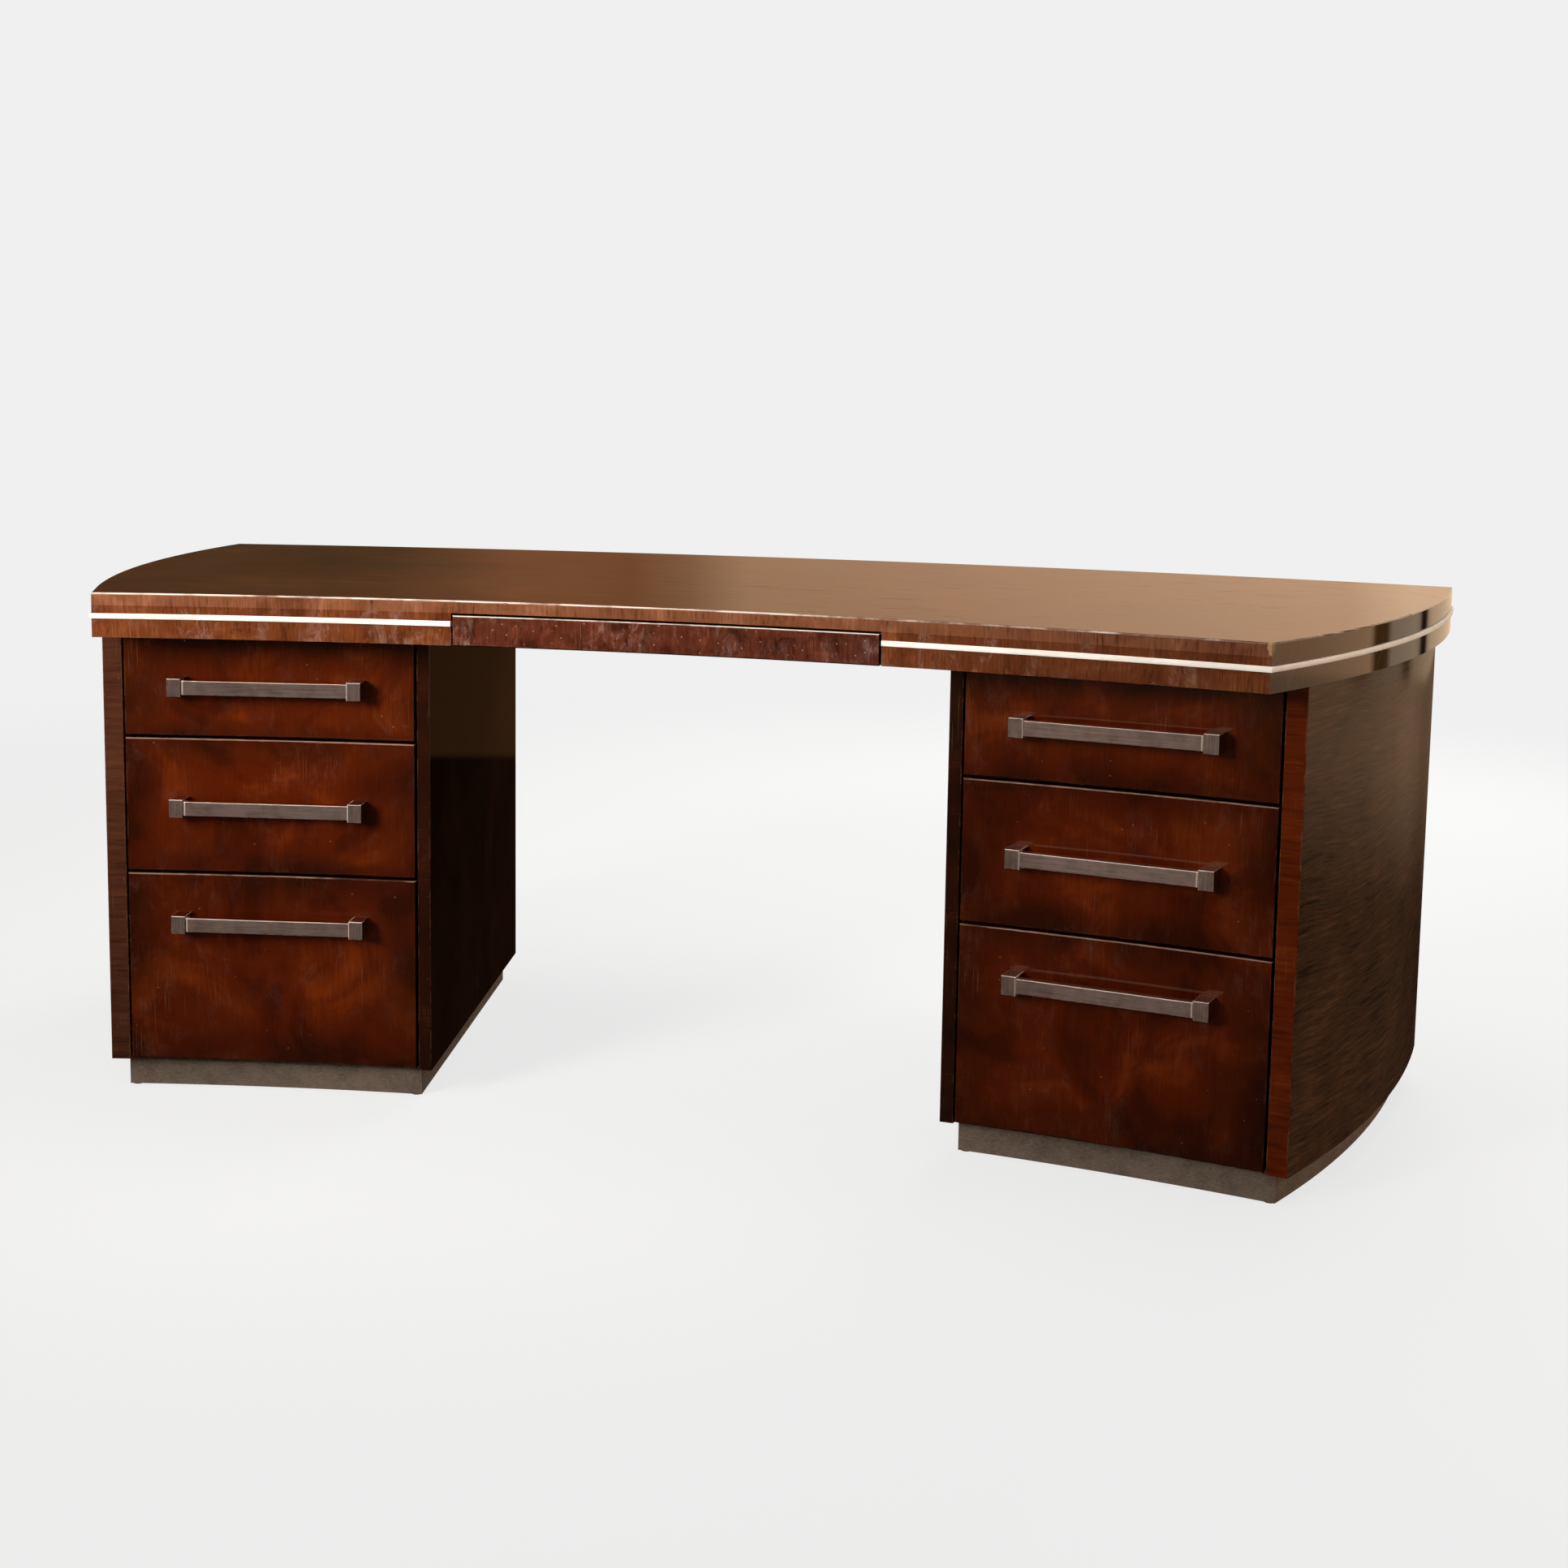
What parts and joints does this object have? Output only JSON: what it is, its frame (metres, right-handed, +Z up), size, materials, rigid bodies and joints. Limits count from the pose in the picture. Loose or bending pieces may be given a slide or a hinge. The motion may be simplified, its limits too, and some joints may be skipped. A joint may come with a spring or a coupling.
{
  "type": "partners desk",
  "caption": "Lacquered partners desk with a concave front, bowed ends, splayed drawer pedestals on metal plinths, a pencil drawer, bar pulls and far-side cupboards.",
  "frame": {"origin": "on the floor, under the middle of the desk's box", "axes": "+X along the desk to the sitter's right, +Y from the sitter's side to the partner's side, +Z up"},
  "size_m": [2.092, 0.9935, 0.762],
  "materials": {
    "top_veneer": "gloss",
    "frieze_veneer": "gloss",
    "pencil_veneer": "gloss",
    "front_veneer": "gloss",
    "side_veneer": "gloss",
    "carcase_wood": "satin",
    "drawer_wood": "satin",
    "polished_metal": "polished",
    "pull_metal": "brushed",
    "plinth_metal": "brushed",
    "runner_steel": "zinc plated",
    "glide_plastic": "matte"
  },
  "bodies": {
    "desk": {"top_board": "top_veneer", "frieze_front_left": "frieze_veneer", "frieze_front_right": "frieze_veneer", "frieze_end_left": "frieze_veneer", "frieze_end_right": "frieze_veneer", "frieze_back": "frieze_veneer", "metal_band_left": "polished_metal", "metal_band_right": "polished_metal", "metal_band_back": "polished_metal", "pencil_drawer_guides": "carcase_wood", "cupboard_shelves": "carcase_wood", "shelf_bearers": "carcase_wood", "top_bearers": "carcase_wood", "door_pivots": "runner_steel", "door_catches": "runner_steel", "floor_glides": "glide_plastic", "left_outer_side": "side_veneer", "left_inner_side": "side_veneer", "left_bottom_board": "carcase_wood", "left_top_board": "carcase_wood", "left_divider": "carcase_wood", "left_plinth": "plinth_metal", "left_fixed_runners": "runner_steel", "right_outer_side": "side_veneer", "right_inner_side": "side_veneer", "right_bottom_board": "carcase_wood", "right_top_board": "carcase_wood", "right_divider": "carcase_wood", "right_plinth": "plinth_metal", "right_fixed_runners": "runner_steel"},
    "pencil_drawer": {"pencil_drawer_front": "pencil_veneer", "pencil_drawer_box": "drawer_wood"},
    "left_door": {"left_door": "front_veneer", "left_door_pull": "pull_metal"},
    "left_top_drawer": {"left_top_drawer_front": "front_veneer", "left_top_drawer_box": "drawer_wood", "left_top_drawer_pull": "pull_metal", "left_top_drawer_runners": "runner_steel"},
    "left_middle_drawer": {"left_middle_drawer_front": "front_veneer", "left_middle_drawer_box": "drawer_wood", "left_middle_drawer_pull": "pull_metal", "left_middle_drawer_runners": "runner_steel"},
    "left_lower_drawer": {"left_lower_drawer_front": "front_veneer", "left_lower_drawer_box": "drawer_wood", "left_lower_drawer_pull": "pull_metal", "left_lower_drawer_runners": "runner_steel"},
    "right_door": {"right_door": "front_veneer", "right_door_pull": "pull_metal"},
    "right_top_drawer": {"right_top_drawer_front": "front_veneer", "right_top_drawer_box": "drawer_wood", "right_top_drawer_pull": "pull_metal", "right_top_drawer_runners": "runner_steel"},
    "right_middle_drawer": {"right_middle_drawer_front": "front_veneer", "right_middle_drawer_box": "drawer_wood", "right_middle_drawer_pull": "pull_metal", "right_middle_drawer_runners": "runner_steel"},
    "right_lower_drawer": {"right_lower_drawer_front": "front_veneer", "right_lower_drawer_box": "drawer_wood", "right_lower_drawer_pull": "pull_metal", "right_lower_drawer_runners": "runner_steel"}
  },
  "joints": [
    {"name": "pencil_drawer_slide", "type": "slide", "parent": "desk", "child": "pencil_drawer", "axis": [0, -1, 0], "range_m": [0, 0.28]},
    {"name": "left_top_drawer_slide", "type": "slide", "parent": "desk", "child": "left_top_drawer", "axis": [0.1908, -0.9816, 0], "range_m": [0, 0.33]},
    {"name": "left_middle_drawer_slide", "type": "slide", "parent": "desk", "child": "left_middle_drawer", "axis": [0.1908, -0.9816, 0], "range_m": [0, 0.33]},
    {"name": "left_lower_drawer_slide", "type": "slide", "parent": "desk", "child": "left_lower_drawer", "axis": [0.1908, -0.9816, 0], "range_m": [0, 0.33]},
    {"name": "left_door_hinge", "type": "hinge", "parent": "desk", "child": "left_door", "pos_m": [-0.95727, 0.31497, 0.372], "axis": [0, 0, 1], "range_deg": [0, 100]},
    {"name": "right_top_drawer_slide", "type": "slide", "parent": "desk", "child": "right_top_drawer", "axis": [-0.1908, -0.9816, 0], "range_m": [0, 0.33]},
    {"name": "right_middle_drawer_slide", "type": "slide", "parent": "desk", "child": "right_middle_drawer", "axis": [-0.1908, -0.9816, 0], "range_m": [0, 0.33]},
    {"name": "right_lower_drawer_slide", "type": "slide", "parent": "desk", "child": "right_lower_drawer", "axis": [-0.1908, -0.9816, 0], "range_m": [0, 0.33]},
    {"name": "right_door_hinge", "type": "hinge", "parent": "desk", "child": "right_door", "pos_m": [0.95727, 0.31497, 0.372], "axis": [0, 0, -1], "range_deg": [0, 100]}
  ]
}
